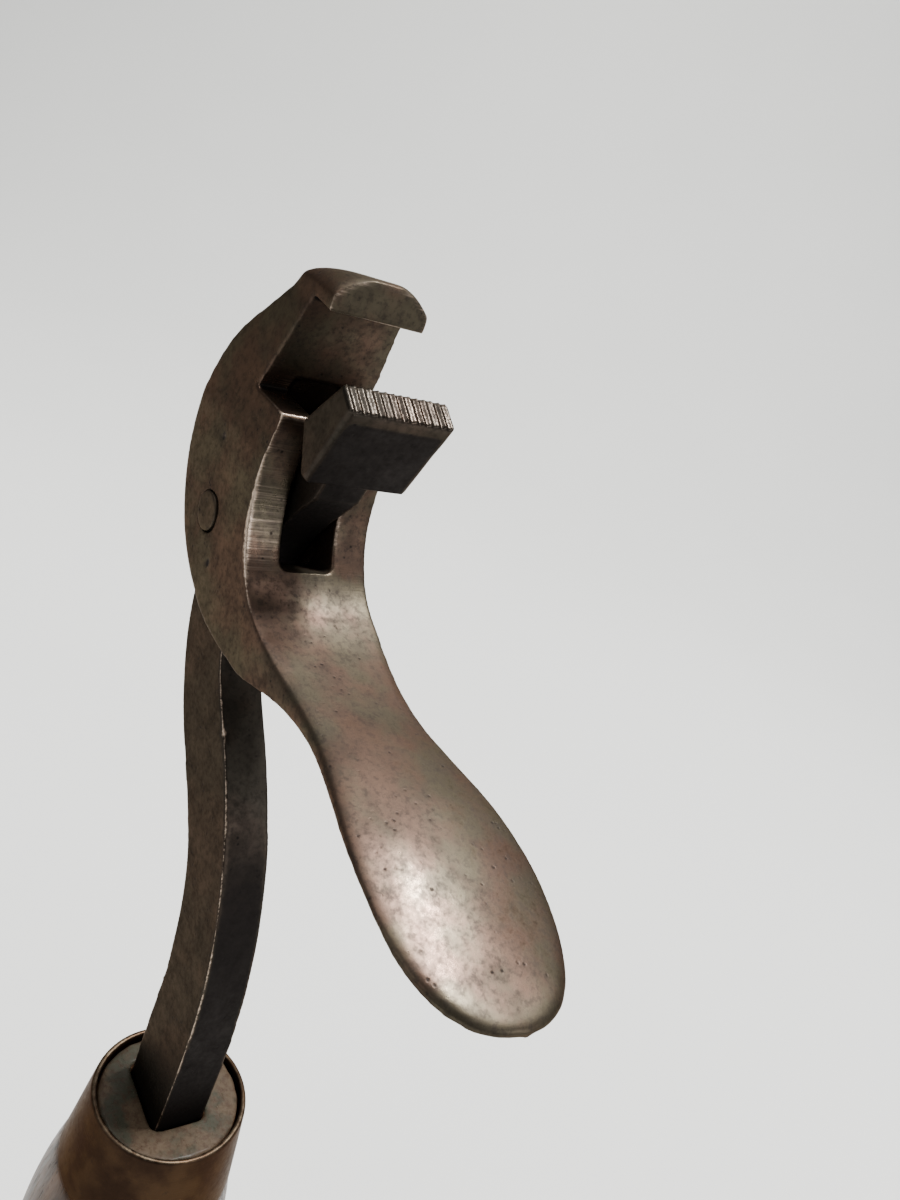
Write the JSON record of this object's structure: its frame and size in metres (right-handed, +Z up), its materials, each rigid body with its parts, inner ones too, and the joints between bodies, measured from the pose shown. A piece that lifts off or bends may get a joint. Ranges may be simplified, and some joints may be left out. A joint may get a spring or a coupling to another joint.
{
  "type": "pipe wrench",
  "caption": "Small self-gripping wrench with a hook frame and spoon-ended squeeze lever swinging on a toothed jaw bar, set in a turned wooden handle.",
  "frame": {"origin": "centre of the handle's flat butt", "axes": "+Z up along the handle to the jaws, +X the side that the mouth and lever face, +Y along the pivot pin"},
  "size_m": [0.0816, 0.0308, 0.212],
  "materials": {
    "forged_hook_steel": "old forged steel, brown patina, worn bright on edges and on the spoon",
    "forged_bar_steel": "old forged steel, dark patina, bright on edges and teeth",
    "pin_steel": "dull worn steel",
    "ferrule_brass": "aged brown brass with a bright worn rim",
    "handle_wood": "old oiled hardwood, darkened by use",
    "washer_steel": "dull steel"
  },
  "bodies": {
    "handle_and_bar": {"jaw_bar": "forged_bar_steel", "ferrule": "ferrule_brass", "handle": "handle_wood", "ferrule_pin": "pin_steel", "butt_washer": "washer_steel"},
    "hook_and_lever": {"hook_frame": "forged_hook_steel", "pivot_pin": "pin_steel"}
  },
  "joints": [
    {"name": "hook_pivot", "type": "hinge", "parent": "handle_and_bar", "child": "hook_and_lever", "pos_m": [-0.0255, 0, 0.1775], "axis": [0, 1, 0], "range_deg": [-17.5, 19]}
  ]
}
